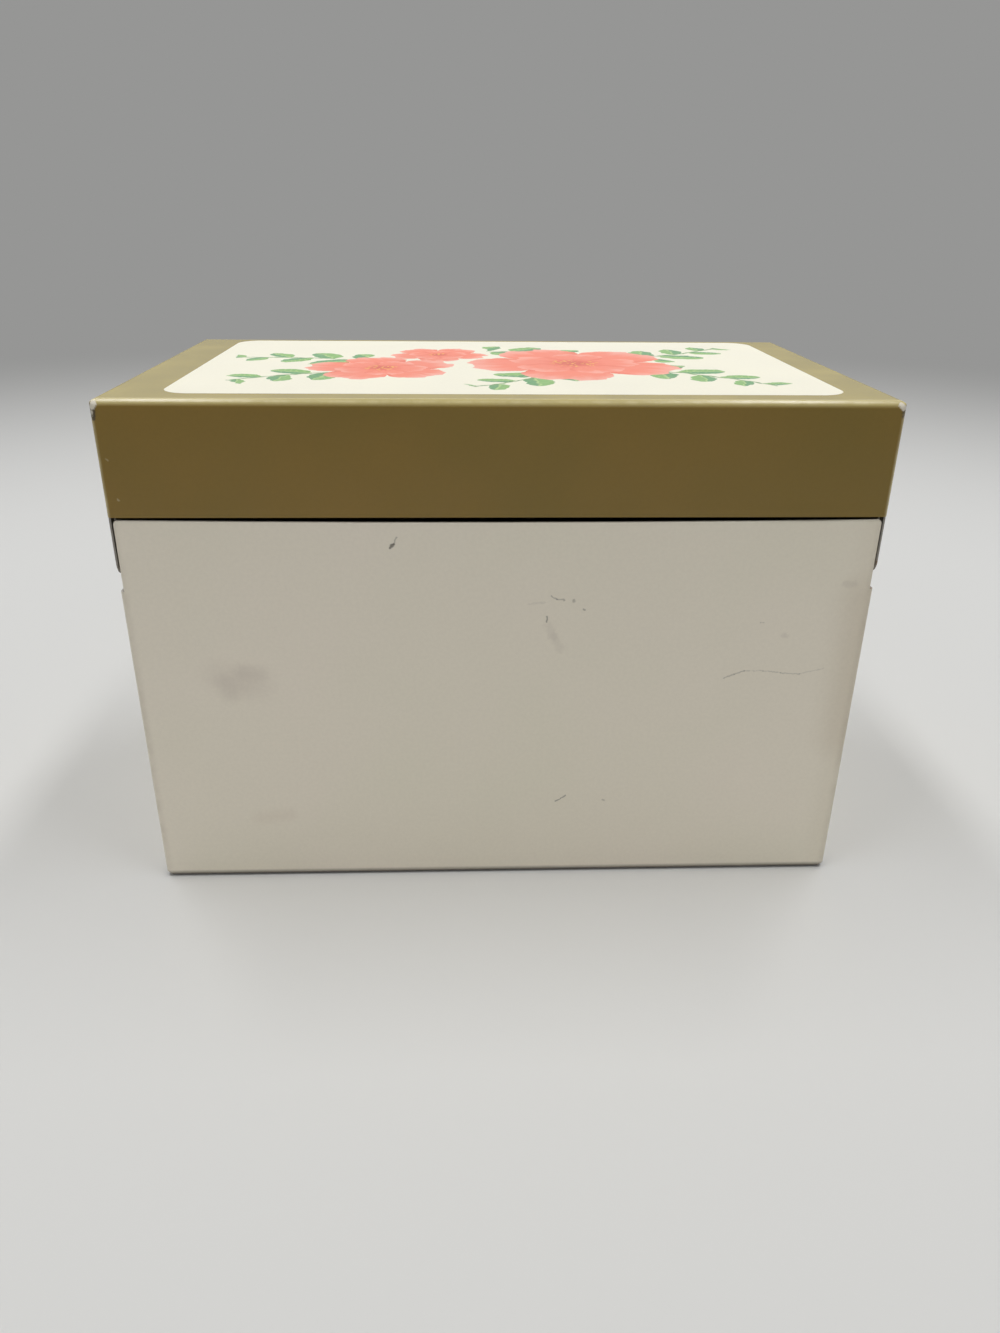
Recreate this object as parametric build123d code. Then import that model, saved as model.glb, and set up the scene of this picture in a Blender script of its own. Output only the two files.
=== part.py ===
"""Tinplate recipe card box: a folded body, two end panels and a skirted lid on two hinge rivets.

Millimetres. The origin is the centre of the underside, +Z is up, the front faces -Y and the hinge
is at the rear, +Y. The lid is drawn closed. Right is +X, as seen from the front.
"""
from build123d import *
import math
import os

# The sheet and its bends
SHEET = 0.35                # tinplate thickness of every formed piece
BODY_BEND = 0.4             # inside radius of the body's upright bends
BOTTOM_BEND = 0.7           # inside radius of the bends round the body's bottom
LID_BEND = 0.6              # inside radius of the lid's upright corner bends
LID_EDGE_BEND = 1.0         # inside radius of the bends round the lid's top

# The body
BODY_WIDTH = 136.9          # over the flanges on both ends
BODY_DEPTH = 79.7           # over the front and rear walls
BOX_HEIGHT = 96.5           # underside to the top of the closed lid
FLANGE_WIDTH = 6.0          # flanges folded round onto the ends
WALL_HEM = 4.0              # top edge of the front and rear walls, folded down inside
HEM_CORNER = 0.8            # rounded free corners of the rear wall
REAR_SAG = 0.45             # dip of the rear wall's top edge, halfway along
RELIEF_RADIUS = 1.2         # relief hole where three bends meet
MITRE_GAP = 0.3             # slit between the end flanges at each bottom corner
HINGE_RECESS = 13.7         # lid's lower edge to the cut-off top of the rear flanges

# The end panels
PANEL_FLANGE = 7.0          # flanges turned inward along the walls and the bottom
PANEL_NOTCH = 1.2           # notch between those flanges at the bottom corners
HEM_CLEARANCE = 0.5         # shoulder of the panel to the wall hem above it
NECK_RISE = 8.5             # how far the neck stands up into the lid
NECK_SETBACK = 1.6          # neck's ends to the inner faces of the walls
NECK_CORNER = 6.0           # rounded top corners of the neck
NECK_HEM = 3.0              # top edge of the neck, folded down inside

# The lid
SKIRT_DEPTH = 20.2          # lid's top to the lower edge of its skirts
LID_CLEARANCE = 0.15        # side skirts to the end panels
FRONT_SLOT = 0.3            # front skirt to the top of the front wall
REAR_SLOT = 0.5             # rear skirt to the ends of the rear wall's top edge
LID_HEM = 4.0               # lower edge of the front skirt, folded up inside
LID_HEM_INSET = 1.5         # ends of that hem to the corner bends
SEAM_GAP = 0.12             # slit beside each folded corner of the lid
SEAM_HOLE = 0.9             # diameter of the relief hole at the top of that slit
TAB_LENGTH = 5.0            # corner tabs welded inside the side skirts
TAB_RAISE = 10.5            # lower edge of the skirts to the lower edge of the tabs
TAB_TOP_GAP = 0.4           # top of the tabs to the bend above them

# The hinge
EAR_DROP = 11.1             # lower edge of the skirts to the end of the ears
EAR_WIDTH = 12.0
EAR_CORNER = 2.4            # rounded lower corners of the ears
EAR_FILLET = 2.5            # ear's front edge into the skirt
PIVOT_INSET = 5.9           # lid's rear face to the hinge axis
PIVOT_DROP = 6.5            # lower edge of the skirts to the hinge axis
SHANK_DIAMETER = 3.0
RUNNING_CLEARANCE = 0.05    # shank in the ear, on the radius
SEAT_CLEARANCE = 0.02       # shank in the end panel, on the radius
HEAD_GAP = 0.05             # ear to the underside of the rivet's head
HEAD_DIAMETER = 5.6
HEAD_HEIGHT = 0.7
HEAD_RIM = 0.25             # straight edge under the dome
CLINCH_DIAMETER = 4.6       # end of the rivet, rolled over inside
CLINCH_HEIGHT = 0.6
CLINCH_ROUND = 0.4
BORE_DIAMETER = 1.8         # hollow end of the rivet
BORE_DEPTH = 1.3

# Places that follow from the sizes above
OVERCUT = 1.0                                   # how far a cutter reaches past what it cuts
BODY_TANGENT = SHEET + BODY_BEND                # flat of a body wall starts this far in
LID_TANGENT = SHEET + LID_BEND                  # flat of a lid skirt starts this far in
LID_EDGE_TANGENT = SHEET + LID_EDGE_BEND        # and this far below the lid's top
PANEL_FACE = BODY_WIDTH / 2 - SHEET             # outer face of an end panel
PANEL_END = BODY_DEPTH / 2 - SHEET              # inner face of a wall, where a panel ends
LID_WIDTH = 2 * (PANEL_FACE + LID_CLEARANCE + SHEET)
LID_DEPTH = BODY_DEPTH + 2 * LID_CLEARANCE
SKIRT_EDGE = BOX_HEIGHT - SKIRT_DEPTH
FRONT_TOP = SKIRT_EDGE - FRONT_SLOT
REAR_TOP = SKIRT_EDGE - REAR_SLOT
PANEL_SHOULDER = min(FRONT_TOP, REAR_TOP - REAR_SAG) - WALL_HEM - HEM_CLEARANCE
NECK_TOP = FRONT_TOP + NECK_RISE
NECK_END = PANEL_END - NECK_SETBACK
PIVOT_Y = LID_DEPTH / 2 - PIVOT_INSET
PIVOT_Z = SKIRT_EDGE - PIVOT_DROP


def block(x, y, z):
    """A box between two limits on each axis."""
    return Pos((x[0] + x[1]) / 2, (y[0] + y[1]) / 2, (z[0] + z[1]) / 2) * Box(
        x[1] - x[0], y[1] - y[0], z[1] - z[0]
    )


def rounded_profile(span, base, top, radius):
    """An upright rectangle with its two lower corners rounded."""
    profile = Pos(0, (base + top) / 2) * Rectangle(span, top - base)
    return fillet(profile.vertices().group_by(Axis.Y)[0], radius)


def rounded_block(width, depth, base, top, upright_radius, base_radius):
    """A standing block with its upright edges and its bottom edges rounded."""
    plan = extrude(Pos(0, 0, base) * RectangleRounded(width, depth, upright_radius), top - base)
    front_view = extrude(Plane.XZ * rounded_profile(width, base, top, base_radius), depth, both=True)
    side_view = extrude(Plane.YZ * rounded_profile(depth, base, top, base_radius), width, both=True)
    return plan & front_view & side_view


def sheet_pan(width, depth, height, upright_bend, base_bend):
    """An open pan of one sheet standing on z = 0, with the inside radii of its bends."""
    outside = rounded_block(width, depth, 0, height, upright_bend + SHEET, base_bend + SHEET)
    inside = rounded_block(width - 2 * SHEET, depth - 2 * SHEET, SHEET, height + OVERCUT,
                           upright_bend, base_bend)
    return outside - inside


def closed_hem(height):
    """Section of a sheet edge folded flat on itself: base at y = 0, fold at the top, hem on +x."""
    upright = Pos(SHEET, (height - SHEET) / 2) * Rectangle(2 * SHEET, height - SHEET)
    return upright + Pos(SHEET, height - SHEET) * Circle(SHEET)


def hem_along_x(outer_y, inward, top, half_length, height):
    """A hem on a wall across X; `inward` is +1 or -1, and a negative height hangs from `top`."""
    up = 1 if height > 0 else -1
    section = closed_hem(abs(height))
    plane = Plane(origin=(-half_length, outer_y, top - height), x_dir=(0, inward, 0),
                  z_dir=(inward * up, 0, 0))
    amount = 2 * half_length * inward * up
    return extrude(plane * section, amount)


def sagging_hem(outer_y, inward, top, sag, half_length, height):
    """A hem whose top edge is a shallow arc, `sag` lower at the middle than at the ends."""
    arc_radius = (half_length**2 + sag**2) / (2 * sag)
    middle_top = top - sag
    centre = Axis((0, 0, middle_top + arc_radius), (0, 1, 0))
    plane = Plane(origin=(0, outer_y, middle_top - height), x_dir=(0, inward, 0),
                  z_dir=(inward, 0, 0))
    half_turn = math.degrees(math.asin((half_length + OVERCUT) / arc_radius))
    return revolve((plane * closed_hem(height)).rotate(centre, -half_turn), centre, 2 * half_turn)


def body_wrap():
    """Front wall, bottom and rear wall in one sheet, with flanges folded round the ends."""
    wrap = sheet_pan(BODY_WIDTH, BODY_DEPTH, FRONT_TOP - SHEET, BODY_BEND, BOTTOM_BEND)
    flat_half = BODY_WIDTH / 2 - BODY_TANGENT
    half_width, half_depth = BODY_WIDTH / 2, BODY_DEPTH / 2

    # The walls' hemmed top edges; the rear one dips towards its middle, and the wall ends in it
    wrap += hem_along_x(-half_depth, 1, FRONT_TOP, flat_half, WALL_HEM)
    wrap -= block((-half_width - OVERCUT, half_width + OVERCUT),
                  (half_depth - BODY_TANGENT, half_depth + OVERCUT),
                  (REAR_TOP - REAR_SAG - 2 * SHEET, BOX_HEIGHT))
    rear_hem = sagging_hem(half_depth, -1, REAR_TOP, REAR_SAG, flat_half, WALL_HEM)
    wrap += rear_hem & block((-flat_half, flat_half), (0, BODY_DEPTH), (0, BOX_HEIGHT))

    for side in (-1, 1):
        end = sorted((side * (half_width - BODY_TANGENT), side * (half_width + OVERCUT)))
        # The ends stay open between the flanges
        wrap -= block(end, (-half_depth + FLANGE_WIDTH, half_depth - FLANGE_WIDTH),
                      (FLANGE_WIDTH, BOX_HEIGHT))
        # The rear flange is cut off where the lid's ear swings
        wrap -= block(end, (half_depth - FLANGE_WIDTH - OVERCUT, half_depth + OVERCUT),
                      (SKIRT_EDGE - HINGE_RECESS, BOX_HEIGHT))
        # Free top corner of the rear wall
        corner = Pos(side * (flat_half - HEM_CORNER), half_depth, REAR_TOP - HEM_CORNER)
        square = block(sorted((side * (flat_half - HEM_CORNER), side * (flat_half + OVERCUT))),
                       (half_depth - 2 * SHEET - OVERCUT, half_depth + OVERCUT),
                       (REAR_TOP - HEM_CORNER, REAR_TOP + OVERCUT))
        wrap -= square - corner * Rot(90, 0, 0) * Cylinder(HEM_CORNER, 4 * (SHEET + OVERCUT))
        for face in (-1, 1):
            # Relief hole and mitre slit at each bottom corner
            wrap -= Pos(side * half_width, face * half_depth, 0) * Sphere(RELIEF_RADIUS)
            slit = Box(2 * BODY_TANGENT, 2 * FLANGE_WIDTH, MITRE_GAP)
            wrap -= Pos(side * half_width, face * half_depth, 0) * Rot(-45 * face, 0, 0) * slit
    return wrap


def right_end_panel():
    """Flat end with flanges turned inward and a neck that keeps the lid in line."""
    inner_x = PANEL_FACE - PANEL_FLANGE
    outside = block((inner_x, PANEL_FACE), (-PANEL_END, PANEL_END), (SHEET, PANEL_SHOULDER))
    outside = fillet(
        outside.faces().sort_by(Axis.X)[-1].edges().sort_by(Axis.Z)[:-1], BODY_TANGENT
    )
    inside = block((inner_x - OVERCUT, PANEL_FACE - SHEET), (SHEET - PANEL_END, PANEL_END - SHEET),
                   (2 * SHEET, PANEL_SHOULDER + OVERCUT))
    inside = fillet(
        inside.faces().sort_by(Axis.X)[-1].edges().sort_by(Axis.Z)[:-1], BODY_BEND
    )
    panel = outside - inside
    for face in (-1, 1):
        # The blank is notched at the bottom corners, where its flanges part
        panel -= block((inner_x - OVERCUT, PANEL_FACE + OVERCUT),
                       sorted((face * (PANEL_END - PANEL_NOTCH), face * (PANEL_END + OVERCUT))),
                       (0, SHEET + PANEL_NOTCH))

    # The neck, with its long edge hemmed between the rounded corners
    foot = PANEL_SHOULDER - NECK_CORNER
    outline = Pos(0, (NECK_TOP + foot) / 2) * Rectangle(2 * NECK_END, NECK_TOP - foot)
    outline = fillet(outline.vertices().group_by(Axis.Y)[-1], NECK_CORNER)
    neck = extrude(Plane.YZ.offset(PANEL_FACE) * outline, -SHEET)
    hem_half = NECK_END - NECK_CORNER
    neck -= block((PANEL_FACE - SHEET, PANEL_FACE), (-hem_half, hem_half),
                  (NECK_TOP - SHEET, NECK_TOP + OVERCUT))
    hem_plane = Plane(origin=(PANEL_FACE, hem_half, NECK_TOP - NECK_HEM), x_dir=(-1, 0, 0),
                      z_dir=(0, 1, 0))
    neck += extrude(hem_plane * closed_hem(NECK_HEM), -2 * hem_half)
    panel += neck

    hole = Pos(PANEL_FACE, PIVOT_Y, PIVOT_Z) * Rot(0, 90, 0) * Cylinder(
        SHANK_DIAMETER / 2 + SEAT_CLEARANCE, 4 * SHEET
    )
    return panel - hole


def ear_plate():
    """One hinge ear with the strip of side skirt above it, in the right skirt's plane."""
    rear = LID_DEPTH / 2 - LID_TANGENT
    front = rear - EAR_WIDTH
    strip_top = SKIRT_EDGE + EAR_FILLET
    ear = Pos((rear + front) / 2, (strip_top + SKIRT_EDGE - EAR_DROP) / 2) * Rectangle(
        EAR_WIDTH, strip_top - SKIRT_EDGE + EAR_DROP
    )
    ear = fillet(ear.vertices().group_by(Axis.Y)[0], EAR_CORNER)
    gusset = Pos(front - EAR_FILLET / 2, SKIRT_EDGE - EAR_FILLET / 2) * Rectangle(EAR_FILLET, EAR_FILLET)
    gusset -= Pos(front - EAR_FILLET, SKIRT_EDGE - EAR_FILLET) * Circle(EAR_FILLET)
    outline = ear + gusset - Pos(PIVOT_Y, PIVOT_Z) * Circle(SHANK_DIAMETER / 2 + RUNNING_CLEARANCE)
    return extrude(Plane.YZ.offset(LID_WIDTH / 2) * outline, -SHEET)


def lid():
    """Top and four skirts in one sheet, folded at the corners, with an ear at each rear end."""
    half_width, half_depth = LID_WIDTH / 2, LID_DEPTH / 2
    shell = sheet_pan(LID_WIDTH, LID_DEPTH, SKIRT_DEPTH, LID_BEND, LID_EDGE_BEND)
    shell = Pos(0, 0, BOX_HEIGHT) * Rot(0, 180, 0) * shell

    # Hemmed lower edge of the front skirt
    hem_half = half_width - LID_TANGENT - LID_HEM_INSET
    shell -= block((-hem_half, hem_half), (-half_depth - OVERCUT, SHEET - half_depth),
                   (SKIRT_EDGE - OVERCUT, SKIRT_EDGE + SHEET))
    shell += hem_along_x(-half_depth, 1, SKIRT_EDGE, hem_half, -LID_HEM)

    right_ear = ear_plate()
    shell += [right_ear, mirror(right_ear, about=Plane.YZ)]

    for side in (-1, 1):
        for face in (-1, 1):
            # Folded corner: a slit in the side skirt, its relief hole, and a tab welded inside
            seam_y = face * (half_depth - LID_TANGENT)
            skirt = sorted((side * (half_width - 2 * SHEET), side * (half_width + OVERCUT)))
            seam_top = BOX_HEIGHT - LID_EDGE_TANGENT
            shell -= block(skirt, sorted((seam_y, seam_y + face * SEAM_GAP)),
                           (SKIRT_EDGE - OVERCUT, seam_top))
            shell -= Pos(side * half_width, seam_y, seam_top) * Rot(0, 90, 0) * Cylinder(
                SEAM_HOLE / 2, 4 * SHEET
            )
            tab_x = sorted((side * (half_width - 2 * SHEET), side * (half_width - SHEET)))
            tab_y = sorted((seam_y - face * TAB_LENGTH, face * (half_depth - SHEET)))
            shell += block(tab_x, tab_y, (SKIRT_EDGE + TAB_RAISE, seam_top - TAB_TOP_GAP))
    return shell


def right_hinge_rivet():
    """Low-headed semi-tubular rivet, clinched inside the end panel; the ear turns on its shank."""
    inner_end = -SHEET - CLINCH_HEIGHT
    bore_end = inner_end + BORE_DEPTH
    head_under = LID_CLEARANCE + SHEET + HEAD_GAP
    rim, crown = head_under + HEAD_RIM, head_under + HEAD_HEIGHT
    bore, shank = BORE_DIAMETER / 2, SHANK_DIAMETER / 2
    head, clinch = HEAD_DIAMETER / 2, CLINCH_DIAMETER / 2

    # Half section: distance along the axis from the panel's outer face, then radius
    hollow_end = Polyline((crown, 0), (bore_end, 0), (bore_end, bore), (inner_end, bore),
                          (inner_end, clinch - CLINCH_ROUND))
    rolled_edge = TangentArc((inner_end, clinch - CLINCH_ROUND), (inner_end + CLINCH_ROUND, clinch),
                             tangent=(0, 1))
    barrel = Polyline((inner_end + CLINCH_ROUND, clinch), (-SHEET, clinch), (-SHEET, shank),
                      (head_under, shank), (head_under, head), (rim, head))
    dome = TangentArc((crown, 0), (rim, head), tangent=(0, 1))
    rivet = revolve(make_face([hollow_end, rolled_edge, barrel, dome]), Axis.X)
    return Pos(PANEL_FACE, PIVOT_Y, PIVOT_Z) * rivet


def left(right_piece):
    """The same piece for the other end."""
    return mirror(right_piece, about=Plane.YZ)


panel = right_end_panel()
rivet = right_hinge_rivet()
pieces = {
    "body_wrap": body_wrap(),
    "right_end_panel": panel,
    "left_end_panel": left(panel),
    "lid": lid(),
    "right_hinge_rivet": rivet,
    "left_hinge_rivet": left(rivet),
}

os.makedirs("parts", exist_ok=True)
for name, solid in pieces.items():
    export_step(solid, f"parts/{name}.step")
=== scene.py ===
"""Looks of a tinplate recipe card box: stoved cream and olive enamel, a floral print on the lid,
bare tinplate inside and two plated hinge rivets, in a plain studio.

Metres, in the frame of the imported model: +Z up, the hinge at the rear, +Y, and the lid closed.
Patterns are written in millimetres, through Object coordinates scaled by 1 / MM.
"""
import math

import bmesh
import bpy
from mathutils import Matrix, Vector


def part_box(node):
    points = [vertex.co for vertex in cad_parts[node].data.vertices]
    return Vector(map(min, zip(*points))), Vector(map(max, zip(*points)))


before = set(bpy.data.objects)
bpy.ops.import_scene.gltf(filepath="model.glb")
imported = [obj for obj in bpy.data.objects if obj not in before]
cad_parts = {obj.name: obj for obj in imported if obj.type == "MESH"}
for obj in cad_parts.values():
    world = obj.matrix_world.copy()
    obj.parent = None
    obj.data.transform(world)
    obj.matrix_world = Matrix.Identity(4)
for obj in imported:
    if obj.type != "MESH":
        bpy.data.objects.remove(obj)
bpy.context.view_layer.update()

MM = 0.001

# Sockets of the Mix node that mix colours
FACTOR, COLOUR_A, COLOUR_B, MIXED = 0, 6, 7, 2


# Helpers

def linear(hex_code):
    """An sRGB hex colour as linear RGBA."""
    channels = [int(hex_code[i:i + 2], 16) / 255 for i in (1, 3, 5)]
    return [c / 12.92 if c <= 0.04045 else ((c + 0.055) / 1.055) ** 2.4 for c in channels] + [1]


def add(tree, kind, inputs=None, out=0, **settings):
    """Adds one node with its settings and its inputs, each a value or a socket to link."""
    node = tree.nodes.new(kind)
    for name, value in settings.items():
        setattr(node, name, value)
    for key, value in (inputs or {}).items():
        if isinstance(value, bpy.types.NodeSocket):
            tree.links.new(value, node.inputs[key])
        else:
            node.inputs[key].default_value = value
    return node.outputs[out] if out is not None else node


def new_material(name):
    """An empty node material: its tree, and the object's coordinates in millimetres."""
    material = bpy.data.materials.new(name)
    material.use_nodes = True
    tree = material.node_tree
    tree.nodes.clear()
    coordinates = add(tree, "ShaderNodeTexCoord", out=None)
    place = add(tree, "ShaderNodeVectorMath", {0: coordinates.outputs["Object"], "Scale": 1 / MM},
                operation="SCALE")
    return material, tree, place


def finish_surface(tree, height, **inputs):
    """Ends a material: one Principled shader, with its relief, a height in millimetres."""
    normal = add(tree, "ShaderNodeBump", {"Strength": 1.0, "Distance": MM, "Height": height})
    sockets = {name.replace("_", " "): value for name, value in inputs.items()}
    shader = add(tree, "ShaderNodeBsdfPrincipled", {**sockets, "Normal": normal})
    add(tree, "ShaderNodeOutputMaterial", {"Surface": shader}, out=None)


def grain(tree, place, feature, detail=2.0, stretch=(1, 1, 1)):
    """Noise from 0 to 1 whose features are about that many millimetres across."""
    scaled = add(tree, "ShaderNodeVectorMath", {0: place, 1: [1 / (feature * s) for s in stretch]},
                 operation="MULTIPLY")
    return add(tree, "ShaderNodeTexNoise", {"Vector": scaled, "Scale": 1.0, "Detail": detail})


def between(tree, value, low, high, from_low=0.0, from_high=1.0):
    """The value from from_low to from_high, brought smoothly to low and high and held there."""
    return add(tree, "ShaderNodeMapRange",
               {"Value": value, "From Min": from_low, "From Max": from_high, "To Min": low,
                "To Max": high}, interpolation_type="SMOOTHSTEP")


def tint(tree, under, over, mask):
    """The colour `over` laid on `under` where the mask is 1."""
    return add(tree, "ShaderNodeMix", {FACTOR: mask, COLOUR_A: under, COLOUR_B: over}, out=MIXED,
               data_type="RGBA")


# Sizes that the finishes follow, in millimetres, read from the frame

def limits(node):
    """Half width, half depth, bottom and top of a node that is centred on the origin."""
    low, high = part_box(node)
    return high.x / MM, high.y / MM, low.z / MM, high.z / MM


BODY_X, BODY_Y, BODY_BOTTOM, BODY_TOP = limits("body_wrap")
LID_X, LID_Y, _, LID_TOP = limits("lid")
PANEL_LOW, PANEL_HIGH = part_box("right_end_panel")
SHEET = 0.35            # thickness of the tinplate
BEND = 1.35             # outside radius of the largest bends, round the lid's top
WALL_HEM = 4.0          # folded edges: of the body's walls and of the lid's front skirt
NECK_HEM = 3.0          # of the end panels' necks
SKIRT_DEPTH = 20.2      # the lid's top to the lower edge of its skirts
SKIRT_EDGE = LID_TOP - SKIRT_DEPTH


# The printed panel on the lid

PRINT_HALF = (59.7, 35.8)       # half sizes of the cream panel in its olive border
PRINT_CORNER = 5.0              # its corners' radius
PRINT_SHIFT = (-1.0, -1.3)      # the print sits slightly off centre
INK_EDGE = 0.12                 # softness of a printed edge
PRINT_SATIN = 0.22              # how much rougher the printed panel is

PAPER = "#F2EEDA"
LIT_TOP_OLIVE = "#AA9842"          # the border on the lid's top, painted lighter than the skirt's olive: painted light from above
PETAL_PALE, PETAL, PETAL_DEEP, PETAL_HEART = "#F0A694", "#E7785C", "#D95432", "#BC361E"
LEAF_DARK, LEAF_LIGHT, LEAF_VEIN = "#2A7645", "#6C9F4B", "#A9C47A"
STEM_GREEN = "#5F8440"
POLLEN = "#E8B63C"

# Blossoms: middle, radius, turn in degrees
BLOSSOMS = (
    ((13.0, -13.0), 10.5, 20),
    ((24.0, 6.0), 15.0, 64),
    ((-15.0, -1.0), 22.0, 8),
)
# Sprigs: root, heading in degrees, radius of the stem's bend (left if positive), length
SPRIGS = (
    ((-30.0, 8.0), 150, -60.0, 27.0),
    ((-30.0, -10.0), 205, 55.0, 26.0),
    ((-8.0, 14.0), 60, -40.0, 20.0),
    ((32.0, 12.0), 15, 48.0, 22.0),
    ((30.0, -4.0), -25, 42.0, 26.0),
    ((2.0, -18.0), 190, -34.0, 20.0),
)
LEAF_ANGLE = math.radians(48)   # leaves to their stem
LEAF_PITCH = 9.5                # between leaves on one side of a stem
LEAF_LENGTH, LEAF_HALF = 12.0, 3.3
LEAF_FULLNESS = 2.6             # brings the middle of a leaf to its full width
RIB_SLANT, RIB_RATE = -0.16, 44.0   # side veins: how they lean, and their radians per leaf
STEM_HALF = 0.32
PETALS = 5
PETAL_NOTCH, PETAL_RISE = 0.6, 0.42     # reach between two petals, and how much more at a tip
STREAK_ROUND, STREAK_OUT = 7.0, 1.6     # fineness of the streaks round a blossom, and outwards
INNER_PETALS = 0.62             # a blossom's inner ring to its outer one
POLLEN_DOTS = 0.95              # in a millimetre
BRUSH_RATE, BRUSH_WANDER = 0.35, 2.4    # bends of a brushed outline in a millimetre, and the
                                        # widest that it wanders, from side to side


def new_group(name, inputs, outputs):
    """A node group with those sockets, each a name and a kind, and its input and output nodes."""
    tree = bpy.data.node_groups.new(name, "ShaderNodeTree")
    for socket, kind in inputs.items():
        tree.interface.new_socket(socket, in_out="INPUT", socket_type="NodeSocket" + kind)
    for socket, kind in outputs.items():
        tree.interface.new_socket(socket, in_out="OUTPUT", socket_type="NodeSocket" + kind)
    return tree, add(tree, "NodeGroupInput", out=None).outputs


def leaf_shape(tree, along, across):
    """A lens-shaped leaf, from 0 to 1 along its vein and -1 to 1 across: its mask and its ink."""
    inside = add(tree, "ShaderNodeMath", {0: along, 1: 0.0}, operation="ADD", use_clamp=True)
    rest = add(tree, "ShaderNodeMath", {0: 1.0, 1: inside}, operation="SUBTRACT")
    swell = add(tree, "ShaderNodeMath", {0: inside, 1: rest}, operation="MULTIPLY")
    edge = add(tree, "ShaderNodeMath", {0: swell, 1: 0.7}, operation="POWER")
    edge = add(tree, "ShaderNodeMath", {0: edge, 1: LEAF_FULLNESS}, operation="MULTIPLY")
    off_vein = add(tree, "ShaderNodeMath", {0: across}, operation="ABSOLUTE")
    depth = add(tree, "ShaderNodeMath", {0: edge, 1: off_vein}, operation="SUBTRACT")
    mask = between(tree, depth, 0, 1, 0.0, 0.09)
    ribs = add(tree, "ShaderNodeMath", {0: off_vein, 1: RIB_SLANT, 2: along},
               operation="MULTIPLY_ADD")
    ribs = add(tree, "ShaderNodeMath", {0: ribs, 1: RIB_RATE}, operation="MULTIPLY")
    ribs = add(tree, "ShaderNodeMath", {0: ribs}, operation="SINE")
    ribs = between(tree, ribs, 0, 0.45, 0.55, 1.0)
    vein = between(tree, off_vein, 0.85, 0, 0.03, 0.14)
    pale = add(tree, "ShaderNodeMath", {0: ribs, 1: vein}, operation="MAXIMUM")
    half = between(tree, across, 0.1, 0.95, -0.2, 0.25)
    ink = tint(tree, linear(LEAF_DARK), linear(LEAF_LIGHT), half)
    return mask, tint(tree, ink, linear(LEAF_VEIN), pale)


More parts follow.
